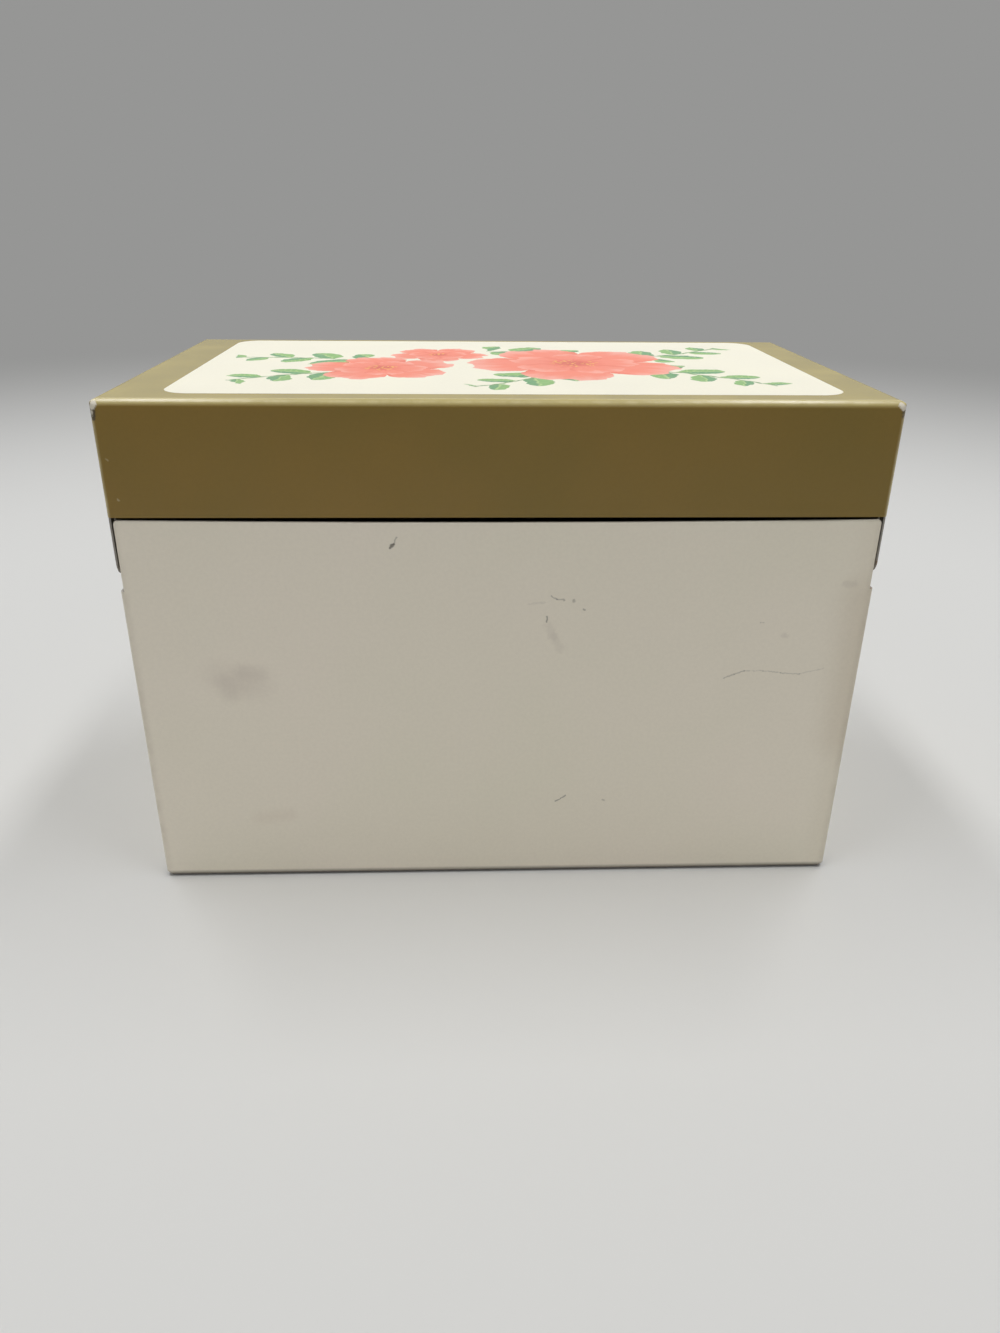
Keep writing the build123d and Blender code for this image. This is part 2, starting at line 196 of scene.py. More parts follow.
def sprig_print():
    """A bent stem with leaves by turns on its two sides, smaller towards the tip.

    Start runs from the bend's centre to the stem's root, and Side is +1 for a bend to the left.
    """
    tree, given = new_group(
        "sprig_print",
        {"Place": "Vector", "Centre": "Vector", "Start": "Vector", "Side": "Float", "Length": "Float"},
        {"Mask": "Float", "Ink": "Color"})
    off = add(tree, "ShaderNodeVectorMath", {0: given["Place"], 1: given["Centre"]},
              operation="SUBTRACT")
    cross = add(tree, "ShaderNodeVectorMath", {0: given["Start"], 1: off}, operation="CROSS_PRODUCT")
    turn = add(tree, "ShaderNodeSeparateXYZ", {0: cross}, out="Z")
    facing = add(tree, "ShaderNodeVectorMath", {0: given["Start"], 1: off}, out="Value",
                 operation="DOT_PRODUCT")
    angle = add(tree, "ShaderNodeMath", {0: turn, 1: facing}, operation="ARCTAN2")
    bend = add(tree, "ShaderNodeVectorMath", {0: given["Start"]}, out="Value", operation="LENGTH")
    arc = add(tree, "ShaderNodeMath", {0: angle, 1: bend}, operation="MULTIPLY")
    along = add(tree, "ShaderNodeMath", {0: arc, 1: given["Side"]}, operation="MULTIPLY")
    distance = add(tree, "ShaderNodeVectorMath", {0: off}, out="Value", operation="LENGTH")
    aside = add(tree, "ShaderNodeMath", {0: distance, 1: bend}, operation="SUBTRACT")
    off_stem = add(tree, "ShaderNodeMath", {0: aside}, operation="ABSOLUTE")
    share = add(tree, "ShaderNodeMath", {0: along, 1: given["Length"]}, operation="DIVIDE")

    # On the stem's length, and on the stem itself
    after_root = between(tree, along, 0, 1, -0.2, 0.2)
    before_tip = between(tree, share, 1, 0, 0.99, 1.0)
    on_length = add(tree, "ShaderNodeMath", {0: after_root, 1: before_tip}, operation="MULTIPLY")
    stem = between(tree, off_stem, 1, 0, STEM_HALF - INK_EDGE, STEM_HALF + INK_EDGE)

    # Leaves: one in each pitch of the stem, the two sides half a pitch apart
    outer = add(tree, "ShaderNodeMath", {0: aside, 1: 0.0}, operation="GREATER_THAN")
    shifted = add(tree, "ShaderNodeMath", {0: outer, 1: LEAF_PITCH / 2, 2: along},
                  operation="MULTIPLY_ADD")
    cell = add(tree, "ShaderNodeMath", {0: shifted, 1: LEAF_PITCH}, operation="FLOORED_MODULO")
    size = between(tree, share, 1.0, 0.55)
    cosine, sine = math.cos(LEAF_ANGLE), math.sin(LEAF_ANGLE)
    lengthwise = add(tree, "ShaderNodeMath", {0: cell, 1: cosine}, operation="MULTIPLY")
    lengthwise = add(tree, "ShaderNodeMath", {0: off_stem, 1: sine, 2: lengthwise},
                     operation="MULTIPLY_ADD")
    crosswise = add(tree, "ShaderNodeMath", {0: cell, 1: -sine}, operation="MULTIPLY")
    crosswise = add(tree, "ShaderNodeMath", {0: off_stem, 1: cosine, 2: crosswise},
                    operation="MULTIPLY_ADD")
    leaf_along = add(tree, "ShaderNodeMath", {0: lengthwise, 1: LEAF_LENGTH}, operation="DIVIDE")
    leaf_along = add(tree, "ShaderNodeMath", {0: leaf_along, 1: size}, operation="DIVIDE")
    leaf_across = add(tree, "ShaderNodeMath", {0: crosswise, 1: LEAF_HALF}, operation="DIVIDE")
    leaf_across = add(tree, "ShaderNodeMath", {0: leaf_across, 1: size}, operation="DIVIDE")
    leaf, ink = leaf_shape(tree, leaf_along, leaf_across)

    ink = tint(tree, ink, linear(STEM_GREEN), stem)
    mask = add(tree, "ShaderNodeMath", {0: stem, 1: leaf}, operation="MAXIMUM")
    mask = add(tree, "ShaderNodeMath", {0: mask, 1: on_length}, operation="MULTIPLY")
    add(tree, "NodeGroupOutput", {"Mask": mask, "Ink": ink}, out=None)
    return tree


def blossom_print():
    """Five rounded petals with a paler rim and streaks from the heart, seen from above."""
    tree, given = new_group(
        "blossom_print",
        {"Place": "Vector", "Middle": "Vector", "Radius": "Float", "Turn": "Float"},
        {"Mask": "Float", "Ink": "Color", "Reach": "Float"})
    off = add(tree, "ShaderNodeVectorMath", {0: given["Place"], 1: given["Middle"]},
              operation="SUBTRACT")
    distance = add(tree, "ShaderNodeVectorMath", {0: off}, out="Value", operation="LENGTH")
    reach = add(tree, "ShaderNodeMath", {0: distance, 1: given["Radius"]}, operation="DIVIDE")
    parts = add(tree, "ShaderNodeSeparateXYZ", {0: off}, out=None).outputs
    angle = add(tree, "ShaderNodeMath", {0: parts["Y"], 1: parts["X"]}, operation="ARCTAN2")
    angle = add(tree, "ShaderNodeMath", {0: angle, 1: given["Turn"]}, operation="SUBTRACT")
    half_turns = add(tree, "ShaderNodeMath", {0: angle, 1: PETALS / 2}, operation="MULTIPLY")
    lobes = add(tree, "ShaderNodeMath", {0: half_turns}, operation="COSINE")
    lobes = add(tree, "ShaderNodeMath", {0: lobes}, operation="ABSOLUTE")

    # Outline: round petals, notched between and slightly at their tips
    edge = add(tree, "ShaderNodeMath", {0: lobes, 1: 0.5}, operation="POWER")
    edge = add(tree, "ShaderNodeMath", {0: edge, 1: PETAL_RISE, 2: PETAL_NOTCH},
               operation="MULTIPLY_ADD")
    tip = between(tree, lobes, 0, -0.07, 0.93, 1.0)
    edge = add(tree, "ShaderNodeMath", {0: edge, 1: tip}, operation="ADD")
    depth = add(tree, "ShaderNodeMath", {0: edge, 1: reach}, operation="SUBTRACT")
    mask = between(tree, depth, 0, 1, 0.0, 0.014)

    # Ink: streaks along the petals, a pale rim and a shadow where one petal passes under the next
    spoke = add(tree, "ShaderNodeVectorMath", {0: off}, operation="NORMALIZE")
    spoke = add(tree, "ShaderNodeVectorMath", {0: spoke, "Scale": STREAK_ROUND},
                operation="SCALE")
    spoke = add(tree, "ShaderNodeVectorMath", {0: spoke, 1: given["Middle"]}, operation="ADD")
    spoke = add(tree, "ShaderNodeSeparateXYZ", {0: spoke}, out=None).outputs
    outwards = add(tree, "ShaderNodeMath", {0: reach, 1: STREAK_OUT}, operation="MULTIPLY")
    streak_place = add(tree, "ShaderNodeCombineXYZ",
                       {"X": spoke["X"], "Y": spoke["Y"], "Z": outwards})
    streak = add(tree, "ShaderNodeTexNoise", {"Vector": streak_place, "Scale": 1.0, "Detail": 3.0})
    streaky = add(tree, "ShaderNodeMath", {0: streak, 1: 0.55, 2: reach}, operation="MULTIPLY_ADD")
    ink = tint(tree, linear(PETAL_DEEP), linear(PETAL), between(tree, streaky, 0, 1, 0.4, 0.85))
    ink = tint(tree, ink, linear(PETAL_PALE), between(tree, streaky, 0, 0.85, 0.95, 1.3))
    petal = add(tree, "ShaderNodeMath", {0: angle, 1: PETALS / math.tau}, operation="MULTIPLY")
    petal = add(tree, "ShaderNodeMath", {0: petal, 1: 0.5}, operation="ADD")
    across = add(tree, "ShaderNodeMath", {0: petal}, operation="FRACT")
    overlap = between(tree, across, 0.75, 0, 0.0, 0.16)
    ink = tint(tree, ink, linear(PETAL_DEEP), overlap)
    heart = between(tree, reach, 0.8, 0, 0.1, 0.34)
    ink = tint(tree, ink, linear(PETAL_HEART), heart)
    add(tree, "NodeGroupOutput", {"Mask": mask, "Ink": ink, "Reach": reach}, out=None)
    return tree


def lay_sprig(tree, place, group, colour, root, heading, bend, length):
    """Lays one sprig over the colour so far. A positive bend turns the stem to the left."""
    side = math.copysign(1, bend)
    forward = math.radians(heading)
    leftward = Vector((-math.sin(forward), math.cos(forward), 0))
    centre = Vector((*root, 0)) + leftward * bend
    start = -leftward * bend
    sprig = add(tree, "ShaderNodeGroup", out=None, node_tree=group)
    tree.links.new(place, sprig.inputs["Place"])
    for name, value in {"Centre": centre, "Start": start, "Side": side, "Length": length}.items():
        sprig.inputs[name].default_value = value
    return tint(tree, colour, sprig.outputs["Ink"], sprig.outputs["Mask"])


def lay_blossom(tree, place, group, colour, middle, radius, turn):
    """Lays a double blossom over the colour so far: outer petals, inner petals and pollen."""
    for scale, offset in ((1.0, 0), (INNER_PETALS, 180 / PETALS)):
        flower = add(tree, "ShaderNodeGroup", out=None, node_tree=group)
        tree.links.new(place, flower.inputs["Place"])
        flower.inputs["Middle"].default_value = (*middle, 0)
        flower.inputs["Radius"].default_value = radius * scale
        flower.inputs["Turn"].default_value = math.radians(turn + offset)
        colour = tint(tree, colour, flower.outputs["Ink"], flower.outputs["Mask"])
    reach = flower.outputs["Reach"]
    dots = add(tree, "ShaderNodeTexVoronoi", {"Vector": place, "Scale": POLLEN_DOTS},
               out="Distance")
    dots = between(tree, dots, 1, 0, 0.2, 0.42)
    ring = between(tree, reach, 1, 0, 0.3, 0.42)
    pollen = add(tree, "ShaderNodeMath", {0: dots, 1: ring}, operation="MULTIPLY")
    return tint(tree, colour, linear(POLLEN), pollen)


def floral_panel(tree, place):
    """The lid's top, as colours with their masks: the border, in an olive painted lighter than the
    skirt's as painted light from above, then the printed panel.
    """
    # The top's olive is painted lighter than the skirt's, as painted light from above, on the top and
    # the upper part of its rounded rim
    height = add(tree, "ShaderNodeSeparateXYZ", {0: place}, out="Z")
    lit_top = between(tree, height, 0, 1, LID_TOP - BEND, LID_TOP - BEND / 4)
    flat = add(tree, "ShaderNodeVectorMath", {0: place, 1: (1, 1, 0)}, operation="MULTIPLY")
    flat = add(tree, "ShaderNodeVectorMath", {0: flat, 1: (*PRINT_SHIFT, 0)}, operation="SUBTRACT")

    # Rounded rectangle: how far a point is outside it
    folded = add(tree, "ShaderNodeVectorMath", {0: flat}, operation="ABSOLUTE")
    straight = [half - PRINT_CORNER for half in PRINT_HALF] + [0]
    past = add(tree, "ShaderNodeVectorMath", {0: folded, 1: straight}, operation="SUBTRACT")
    past = add(tree, "ShaderNodeVectorMath", {0: past, 1: (0, 0, 0)}, operation="MAXIMUM")
    past = add(tree, "ShaderNodeVectorMath", {0: past}, out="Value", operation="LENGTH")
    panel = between(tree, past, 1, 0, PRINT_CORNER - INK_EDGE, PRINT_CORNER + INK_EDGE)

    # Brushed outlines: the places of the motifs wander a little
    drift = add(tree, "ShaderNodeTexNoise", {"Vector": flat, "Scale": BRUSH_RATE, "Detail": 3.0},
                out="Color")
    drift = add(tree, "ShaderNodeVectorMath", {0: drift, 1: (0.5, 0.5, 0.5)}, operation="SUBTRACT")
    drift = add(tree, "ShaderNodeVectorMath", {0: drift, 1: (BRUSH_WANDER, BRUSH_WANDER, 0)},
                operation="MULTIPLY")
    brushed = add(tree, "ShaderNodeVectorMath", {0: flat, 1: drift}, operation="ADD")

    colour = linear(PAPER)
    sprig, blossom = sprig_print(), blossom_print()
    for root, heading, bend, length in SPRIGS:
        colour = lay_sprig(tree, brushed, sprig, colour, root, heading, bend, length)
    for middle, radius, turn in BLOSSOMS:
        colour = lay_blossom(tree, brushed, blossom, colour, middle, radius, turn)
    return (linear(LIT_TOP_OLIVE), lit_top), (colour, panel)


# Finishes

CREAM, CREAM_DEEP = "#F4EADA", "#EEE8D4"
OLIVE, OLIVE_DEEP = "#907029", "#796622"
TIN, TIN_DULL, TIN_SPOT = "#CBC7BA", "#BBB4A4", "#7C6A50"
CUT_STEEL, CUT_RUST = "#8E8A82", "#6A4E36"
RIVET_TIN, RIVET_TARNISH = "#C4C1B8", "#8F8878"
# The third of these is the colour of the painted shade round the body's foot
CHIP_RIM, CHIP_TIN, FOOT_SHADE = "#4B3A26", "#D8D4C8", "#3A3128"

# Folds: their tint, its strength, how far it reaches, and the painted shade round the closed end
# The body's folds: tinted darker and browner, with painted shade round the foot where it stands on the
# floor
DARKER_FOLDS_SHADED_FOOT = ("#6E5A40", 0.2, 2.0, 0.95)
# The lid's folds: a pale tint that is a painted highlight along its rounded edges
PAINTED_FOLD_HIGHLIGHT = ("#E8DBAA", 0.65, 0.9, 0.0)
CHIP_LEVEL = 0.97               # how high the chip noise rises where the enamel is gone
FOOT_SHADE_REACH = (0.3, 1.7)         # painted shade round the foot: thick up to the first, gone at the second
FRAY_RATE, FRAY_LIMIT = 1.1, 1.5    # frayed marks: bends in a millimetre, and the widest fray

# Relief of the enamel: orange peel, long waves in the sheet, and the depth of a chip
PEEL, WAVES, COAT = 0.006, 0.05, 0.03


def edge_distance(tree, place, half_x, half_y, end_z, end_sign):
    """Millimetres from a point on the outside to the nearest folded edge, to the nearest corner
    and to the closed end.

    Of the distances to the sides, to the front or rear and to the closed end, a point on the
    outside has one near 0, and the middle one of the three is its distance to an edge.
    """
    parts = add(tree, "ShaderNodeSeparateXYZ", {0: place}, out=None).outputs
    wide = add(tree, "ShaderNodeMath", {0: parts["X"]}, operation="ABSOLUTE")
    deep = add(tree, "ShaderNodeMath", {0: parts["Y"]}, operation="ABSOLUTE")
    wide = add(tree, "ShaderNodeMath", {0: half_x, 1: wide}, operation="SUBTRACT")
    deep = add(tree, "ShaderNodeMath", {0: half_y, 1: deep}, operation="SUBTRACT")
    tall = add(tree, "ShaderNodeMath", {0: parts["Z"], 1: -end_sign, 2: end_sign * end_z},
               operation="MULTIPLY_ADD")
    low = add(tree, "ShaderNodeMath", {0: wide, 1: deep}, operation="MINIMUM")
    high = add(tree, "ShaderNodeMath", {0: wide, 1: deep}, operation="MAXIMUM")
    middle = add(tree, "ShaderNodeMath", {0: high, 1: tall}, operation="MINIMUM")
    middle = add(tree, "ShaderNodeMath", {0: middle, 1: low}, operation="MAXIMUM")
    most = add(tree, "ShaderNodeMath", {0: high, 1: tall}, operation="MAXIMUM")
    return middle, most, tall


def rub(tree, place, start, end, half_width, softness):
    """A soft straight mark between two points on a surface, in millimetres: its mask."""
    run = end - start
    off = add(tree, "ShaderNodeVectorMath", {0: place, 1: start}, operation="SUBTRACT")
    share = add(tree, "ShaderNodeVectorMath", {0: off, 1: run / run.length_squared}, out="Value",
                operation="DOT_PRODUCT")
    share = add(tree, "ShaderNodeMath", {0: share, 1: 0.0}, operation="ADD", use_clamp=True)
    nearest = add(tree, "ShaderNodeVectorMath", {0: run, "Scale": share}, operation="SCALE")
    gap = add(tree, "ShaderNodeVectorMath", {0: off, 1: nearest}, out="Value", operation="DISTANCE")
    return between(tree, gap, 1, 0, half_width, half_width + softness)


def fold_highlight_shade_and_chips(tree, place, base, edges, look):
    """Tints the folds, with a painted highlight on the lid and darker on the body, lays painted shade
    round the body's foot, and chips the folds down to the tin with a dark rim: the colour and the
    chips.

    The look is DARKER_FOLDS_SHADED_FOOT or PAINTED_FOLD_HIGHLIGHT.
    """
    fold, corner, end = edge_distance(tree, place, *edges)
    fold_tint, strength, reach, foot_shade = look
    # The fold tint: a painted highlight on the lid, darker and browner on the body
    fade = between(tree, fold, strength, 0, 0.15, reach)
    uneven = grain(tree, place, feature=3.0, detail=3.0)
    uneven = between(tree, uneven, 0.5, 1, 0.35, 0.65)
    fade = add(tree, "ShaderNodeMath", {0: fade, 1: uneven}, operation="MULTIPLY")
    base = tint(tree, base, linear(fold_tint), fade)
    # Painted shade round the closed end: a painted contact shadow along the body's foot
    if foot_shade:
        foot = add(tree, "ShaderNodeMath", {0: fold, 1: end}, operation="MAXIMUM")
        base = tint(tree, base, linear(FOOT_SHADE), between(tree, foot, foot_shade, 0, *FOOT_SHADE_REACH))

    chip_noise = grain(tree, place, feature=0.55, detail=3.0)
    at_fold = between(tree, fold, 0.27, 0, 0.0, 0.5)
    at_corner = between(tree, corner, 0.24, 0, 0.4, 3.0)
    chip = add(tree, "ShaderNodeMath", {0: at_fold, 1: at_corner}, operation="ADD")
    chip = add(tree, "ShaderNodeMath", {0: chip, 1: chip_noise}, operation="ADD")
    rim = between(tree, chip, 0, 0.7, CHIP_LEVEL - 0.04, CHIP_LEVEL)
    bare = between(tree, chip, 0, 1, CHIP_LEVEL, CHIP_LEVEL + 0.03)
    base = tint(tree, base, linear(CHIP_RIM), rim)
    return tint(tree, base, linear(CHIP_TIN), bare), bare


def laid_marks(tree, place, base, marks):
    """Lays scuffs and knocks over a colour, their edges frayed, and soft ones more so."""
    fray = add(tree, "ShaderNodeTexNoise", {"Vector": place, "Scale": FRAY_RATE}, out="Color")
    fray = add(tree, "ShaderNodeVectorMath", {0: fray, 1: (0.5, 0.5, 0.5)}, operation="SUBTRACT")
    for path, half_width, softness, strength, mark_colour in marks:
        frayed = add(tree, "ShaderNodeVectorMath",
                     {0: fray, "Scale": min(3 * softness, FRAY_LIMIT)}, operation="SCALE")
        frayed = add(tree, "ShaderNodeVectorMath", {0: frayed, 1: place}, operation="ADD")
        for start, end in zip(path, path[1:]):
            mask = rub(tree, frayed, start, end, half_width, softness)
            mask = add(tree, "ShaderNodeMath", {0: mask, 1: strength}, operation="MULTIPLY")
            base = tint(tree, base, linear(mark_colour), mask)
    return base


def stoved_enamel(name, colour, depth_colour, edges, fold_look, printed=None, marks=()):
    """Roller-coated enamel stoved on tinplate: glossy, with a faint orange peel, chipped at folds, and
    tinted along them as the fold look gives: a painted highlight on the lid, darker with painted shade
    at the foot on the body.
    """
    material, tree, place = new_material(name)
    shade = grain(tree, place, feature=26.0, detail=1.0)
    base = tint(tree, linear(colour), linear(depth_colour), shade)
    for ink, mask in printed(tree, place) if printed else ():
        base = tint(tree, base, ink, mask)
    speckle = grain(tree, place, feature=0.7, detail=3.0)
    speckle = between(tree, speckle, 0.988, 1.012, 0.3, 0.7)
    base = add(tree, "ShaderNodeVectorMath", {0: base, "Scale": speckle}, operation="SCALE")
    base, bare = fold_highlight_shade_and_chips(tree, place, base, edges, fold_look)
    base = laid_marks(tree, place, base, marks)

    # Finely dulled by handling, and satin on the printed panel, whose mask is the last
    handled = grain(tree, place, feature=14.0, detail=2.0)
    roughness = between(tree, handled, 0.2, 0.27, 0.35, 0.7)
    if printed:
        roughness = add(tree, "ShaderNodeMath", {0: mask, 1: PRINT_SATIN, 2: roughness},
                        operation="MULTIPLY_ADD")
    peel = grain(tree, place, feature=1.3, detail=1.0)
    waves = grain(tree, place, feature=22.0, detail=0.0)
    height = add(tree, "ShaderNodeMath", {0: peel, 1: PEEL}, operation="MULTIPLY")
    height = add(tree, "ShaderNodeMath", {0: waves, 1: WAVES, 2: height},
                 operation="MULTIPLY_ADD")
    height = add(tree, "ShaderNodeMath", {0: bare, 1: -COAT, 2: height},
                 operation="MULTIPLY_ADD")
    finish_surface(tree, height, Base_Color=base, Roughness=roughness, Metallic=bare, IOR=1.5)
    return material


def bare_tinplate():
    """Electrolytic tinplate: bright, drawn along the rolling direction, dulled by age."""
    material, tree, place = new_material("bare_tinplate")
    rolled = grain(tree, place, feature=0.5, detail=3.0, stretch=(30, 1, 1))
    cloud = grain(tree, place, feature=11.0, detail=4.0)
    base = tint(tree, linear(TIN), linear(TIN_DULL), between(tree, cloud, 0, 1, 0.35, 0.7))
    spots = grain(tree, place, feature=1.6, detail=4.0)
    spots = between(tree, spots, 0, 0.45, 0.66, 0.76)
    base = tint(tree, base, linear(TIN_SPOT), spots)
    roughness = between(tree, rolled, 0.3, 0.42, 0.3, 0.7)
    height = add(tree, "ShaderNodeMath", {0: rolled, 1: 0.0025}, operation="MULTIPLY")
    finish_surface(tree, height, Base_Color=base, Roughness=roughness, Metallic=1.0)
    return material


def sheared_edge():
    """The sheet's cut edge: grey steel between two skins of tin, faintly rusted."""
    material, tree, place = new_material("sheared_edge")
    rust = grain(tree, place, feature=1.8, detail=4.0)
    rust = between(tree, rust, 0, 1, 0.5, 0.72)
    base = tint(tree, linear(CUT_STEEL), linear(CUT_RUST), rust)
    burr = grain(tree, place, feature=0.2, detail=2.0)
    height = add(tree, "ShaderNodeMath", {0: burr, 1: 0.01}, operation="MULTIPLY")
    finish_surface(tree, height, Base_Color=base, Roughness=0.5, Metallic=0.7)
    return material


def plated_rivet():
    """Tin-plated steel rivet: a smooth pressed dome with fine handling scratches and patches of
    tarnish.
    """
    material, tree, place = new_material("plated_rivet_steel")
    tarnish = grain(tree, place, feature=1.4, detail=4.0)
    tarnish = between(tree, tarnish, 0, 1, 0.4, 0.75)
    base = tint(tree, linear(RIVET_TIN), linear(RIVET_TARNISH), tarnish)
    scratches = grain(tree, place, feature=0.12, detail=2.0, stretch=(1, 9, 1))
    roughness = between(tree, scratches, 0.22, 0.42, 0.3, 0.7)
    height = add(tree, "ShaderNodeMath", {0: scratches, 1: 0.003}, operation="MULTIPLY")
    finish_surface(tree, height, Base_Color=base, Roughness=roughness, Metallic=1.0)
    return material


# Marks of use: a path of (x, z) points, or of (y, z) points on an end, half width, softness,
# strength and colour
SOOT, SCRATCH, SCUFF, RUST, WORN_TIN = "#7C6464", "#3B342B", "#8A8278", "#9A7D4C", "#EAE3D2"
ROSY_STAIN, PALE_NICK = "#B08A78", "#C9BE94"
REAR_WALL_MARKS = (
    (((53.0, 45.8), (49.0, 44.4), (45.6, 44.0)), 0.20, 5.0, 0.07, SOOT),
    (((48.4, 46.6), (45.2, 46.2)), 0.10, 2.4, 0.09, SOOT),
    (((52.0, 44.4), (51.2, 41.8)), 0.10, 2.8, 0.09, SOOT),
    (((19.9, 70.8), (19.4, 71.3)), 0.12, 0.28, 0.75, SCRATCH),
    (((19.4, 71.3), (18.7, 72.7)), 0.02, 0.24, 0.40, SCRATCH),
    (((-9.1, 61.5), (-10.1, 60.8), (-11.5, 60.7)), 0.02, 0.24, 0.38, SCRATCH),
    (((-4.9, 59.9), (-7.9, 60.2)), 0.02, 0.30, 0.14, SCUFF),
    (((-13.2, 60.7), (-13.2, 60.4)), 0.08, 0.26, 0.36, SCRATCH),
    (((-15.0, 58.8), (-15.3, 58.7)), 0.08, 0.24, 0.45, SCRATCH),
    (((-8.4, 57.5), (-8.3, 56.5)), 0.05, 0.26, 0.55, SCRATCH),
    (((-8.7, 55.5), (-9.7, 53.5), (-10.9, 50.9)), 0.10, 1.30, 0.09, SOOT),
    (((-42.5, 44.6), (-44.5, 45.4), (-46.3, 46.1)), 0.02, 0.20, 0.34, SCRATCH),
    (((-46.3, 46.1), (-49.9, 46.1), (-53.5, 45.6), (-57.0, 45.3)), 0.01, 0.20, 0.28, SCRATCH),
    (((-57.0, 45.3), (-59.2, 45.9), (-61.6, 46.5)), 0.01, 0.18, 0.16, SCRATCH),
    (((-53.0, 53.4), (-53.3, 53.3)), 0.15, 0.60, 0.12, SOOT),
    (((-63.2, 63.6), (-64.8, 63.6)), 0.15, 0.90, 0.12, SOOT),
    (((-48.2, 56.0), (-48.8, 56.0)), 0.02, 0.20, 0.25, SCRATCH),
    (((-11.2, 17.2), (-12.3, 17.9), (-13.1, 18.6)), 0.03, 0.22, 0.55, SCRATCH),
    (((-20.8, 17.5), (-21.0, 17.3)), 0.08, 0.26, 0.30, SCRATCH),
    (((48.2, 14.1), (42.1, 14.7)), 0.10, 2.40, 0.08, ROSY_STAIN),
    (((-66.8, 60.0), (-67.2, 32.0)), 0.50, 7.50, 0.13, RUST),
    (((-67.6, 74.0), (-67.6, 4.0)), 0.10, 5.50, 0.07, RUST),
)
REAR_SKIRT_MARKS = (
    (((68.2, 95.3), (68.3, 93.7)), 0.45, 0.45, 0.80, SCRATCH),
    (((67.6, 95.8), (68.1, 95.2)), 0.34, 0.35, 0.90, WORN_TIN),
    (((68.4, 94.3), (68.4, 93.9)), 0.20, 0.30, 0.70, WORN_TIN),
    (((-68.3, 95.2), (-68.4, 94.2)), 0.40, 0.45, 0.70, SCRATCH),
    (((-67.5, 95.9), (-68.1, 95.3)), 0.30, 0.35, 0.90, WORN_TIN),
    (((67.0, 86.5), (66.9, 86.3)), 0.05, 0.25, 0.40, PALE_NICK),
    (((66.1, 79.5), (66.0, 79.4)), 0.06, 0.25, 0.50, PALE_NICK),
)
FRONT_WALL_MARKS = (
    (((52.0, 8.5), (45.0, 10.5)), 0.10, 2.80, 0.10, SOOT),
    (((-57.0, 63.0), (-50.0, 66.5)), 0.10, 3.20, 0.08, SOOT),
    (((-6.0, 71.0), (8.0, 70.0)), 0.10, 4.50, 0.07, SOOT),
    (((22.0, 30.5), (27.5, 33.8), (31.0, 34.4)), 0.02, 0.22, 0.30, SCRATCH),
    (((-41.0, 51.0), (-43.2, 47.5)), 0.02, 0.24, 0.32, SCRATCH),
    (((-18.0, 12.6), (-17.2, 13.4)), 0.05, 0.26, 0.45, SCRATCH),
    (((37.6, 58.2), (37.9, 57.9)), 0.08, 0.26, 0.35, SCRATCH),
)
FRONT_SKIRT_MARKS = (
    (((-9.0, 77.2), (8.0, 77.0)), 0.10, 1.60, 0.14, PALE_NICK),
    (((30.0, 88.0), (33.5, 86.4)), 0.02, 0.22, 0.30, PALE_NICK),
    (((-48.2, 82.0), (-48.0, 81.7)), 0.06, 0.25, 0.50, PALE_NICK),
)
END_MARKS = (
    (((18.0, 20.0), (12.0, 22.5)), 0.10, 2.80, 0.09, SOOT),
    (((-14.0, 44.0), (-8.0, 41.5), (-5.0, 41.2)), 0.02, 0.22, 0.28, SCRATCH),
    (((4.4, 58.0), (4.1, 57.2)), 0.06, 0.24, 0.40, SCRATCH),
)


def on_wall(marks, depth):
    """The marks with their paths laid on a wall at that depth."""
    return [([Vector((x, depth, z)) for x, z in path], *look) for path, *look in marks]


def on_end(marks, reach):
    """The marks with their paths laid on an end panel, turned round for the left one."""
    turned = math.copysign(1, reach)
    return [([Vector((reach, turned * y, z)) for y, z in path], *look)
            for path, *look in marks]


PAST_OPENING = 1.0      # metres
SKIN_FACING = 0.5       # how squarely a skin of the sheet faces out or in, and a cut edge doesn't
HAIR = 0.05             # millimetres, as are those below
HEM_SKIN = 2 * SHEET + HAIR     # a hem's inner skin lies less deep
HEM_SAG = 0.6           # the rear wall's hem sags by less
HEM_END = 2.0           # the hem of the lid's front skirt stays further from its corners


def outward(centre, node_box, open_side):
    """The outward direction of a folded sheet at a point: away from a core inside its bends.

    The core runs on past the open side, where the sheet has no wall.
    """
    low, high = node_box
    core_low, core_high = low + Vector.Fill(3, BEND * MM), high - Vector.Fill(3, BEND * MM)
    if open_side > 0:
        core_high.z = high.z + PAST_OPENING
    else:
        core_low.z = low.z - PAST_OPENING
    nearest = Vector(min(max(c, a), b) for c, a, b in zip(centre, core_low, core_high))
    return (centre - nearest).normalized()


def dress_sheet(name, skin, tinplate, cut, skin_box, open_side, in_hem):
    """Gives a folded sheet its enamel outside and on its hems, bare tin inside, and cut edges."""
    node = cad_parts[name]
    node.data.materials.clear()
    for material in (skin, tinplate, cut):
        node.data.materials.append(material)
    for face in node.data.polygons:
        facing = face.normal.dot(outward(face.center, skin_box, open_side))
        if facing > SKIN_FACING or in_hem(face.center / MM):
            face.material_index = 0
        else:
            face.material_index = 1 if facing < -SKIN_FACING else 2


